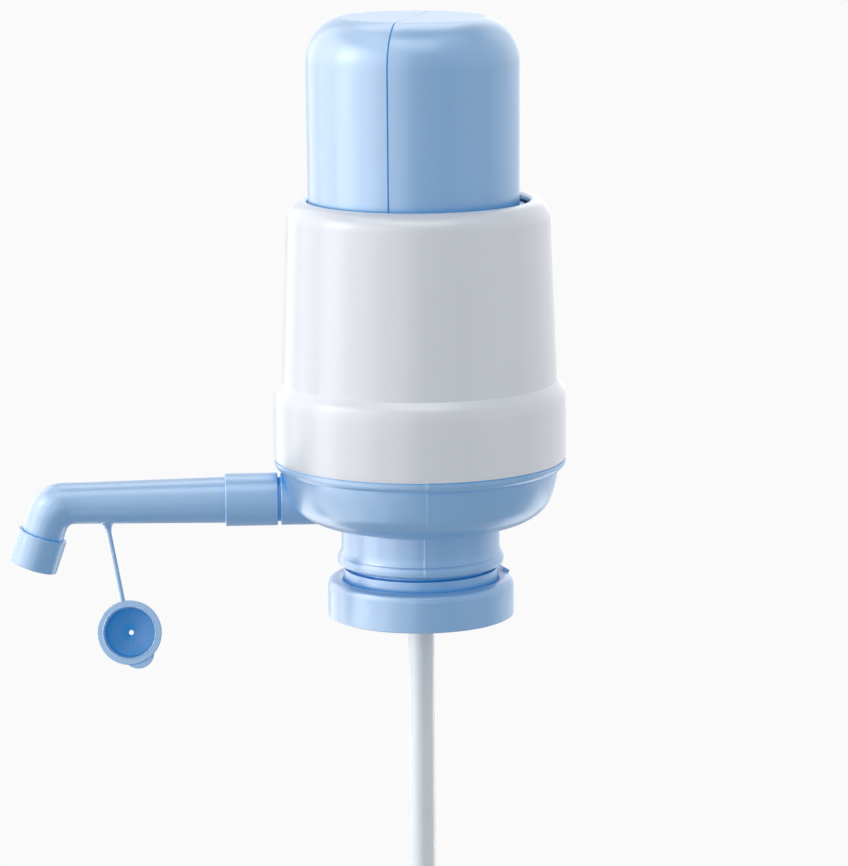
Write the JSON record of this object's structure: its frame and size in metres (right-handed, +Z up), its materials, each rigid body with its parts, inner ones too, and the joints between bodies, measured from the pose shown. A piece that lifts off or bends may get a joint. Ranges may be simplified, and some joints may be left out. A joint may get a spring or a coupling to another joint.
{
  "type": "water jug hand pump",
  "caption": "Hand pump for a large water bottle: push cap over bellows, push-on neck collar with sliding lock ring, swivelling spout, tethered dust cap and dip tube.",
  "frame": {"origin": "centre of the bottle-neck socket, in the plane of the lock ring's lower rim", "axes": "+Z up along the pump's axis towards the press cap, -X along the spout, -Y towards the viewer of the picture"},
  "size_m": [0.1925, 0.101, 0.646],
  "materials": {
    "base_plastic": "satin",
    "collar_plastic": "satin",
    "ring_plastic": "satin",
    "spout_plastic": "satin",
    "dust_cap_plastic": "satin",
    "press_cap_plastic": "soft gloss",
    "housing_plastic": "soft gloss",
    "deck_plastic": "matte",
    "bellows_plastic": "natural, translucent",
    "tube_plastic": "natural, translucent",
    "seal_rubber": "matte",
    "valve_rubber": "matte"
  },
  "bodies": {
    "pump_body": {"base_body": "base_plastic", "housing_shell": "housing_plastic", "pump_deck": "deck_plastic", "deck_gasket": "seal_rubber", "bellows": "bellows_plastic", "bellows_clamp_ring": "deck_plastic", "neck_collar": "collar_plastic", "bottle_seal": "seal_rubber", "spout_o_ring": "seal_rubber", "dip_tube_upper": "tube_plastic", "dip_tube_middle": "tube_plastic", "dip_tube_lower": "tube_plastic"},
    "press_cap": {"press_cap": "press_cap_plastic", "inlet_valve_seat": "deck_plastic"},
    "inlet_valve": {"inlet_valve_flap": "valve_rubber"},
    "outlet_valve": {"outlet_valve_flap": "valve_rubber"},
    "lock_ring": {"lock_ring": "ring_plastic"},
    "spout": {"spout_tube": "spout_plastic", "nozzle_sleeve": "spout_plastic"},
    "dust_cap": {"dust_cap": "dust_cap_plastic"}
  },
  "joints": [
    {"name": "cap_press", "type": "slide", "parent": "pump_body", "child": "press_cap", "axis": [0, 0, -1], "range_m": [0, 0.052], "stiffness_N_per_m": 500, "springref_m": -0.006, "deforming": ["bellows"]},
    {"name": "inlet_valve_lift", "type": "slide", "parent": "press_cap", "child": "inlet_valve", "axis": [0, 0, -1], "range_m": [0, 0.0012], "stiffness_N_per_m": 50, "springref_m": -0.0005},
    {"name": "outlet_valve_lift", "type": "slide", "parent": "pump_body", "child": "outlet_valve", "axis": [0, 0, -1], "range_m": [0, 0.0012], "stiffness_N_per_m": 50, "springref_m": -0.0005},
    {"name": "lock_ring_lift", "type": "slide", "parent": "pump_body", "child": "lock_ring", "axis": [0, 0, 1], "range_m": [0, 0.004]},
    {"name": "spout_swivel", "type": "hinge", "parent": "pump_body", "child": "spout", "pos_m": [-0.0635, 0, 0.04065], "axis": [-1, 0, 0], "continuous": true},
    {"name": "dust_cap_swing", "type": "hinge", "parent": "spout", "child": "dust_cap", "pos_m": [-0.10726, 0.00009, 0.02907], "axis": [0, 1, 0], "range_deg": [-35, 40], "stiffness_Nm_per_rad": 0.006, "springref_deg": -0.54}
  ]
}
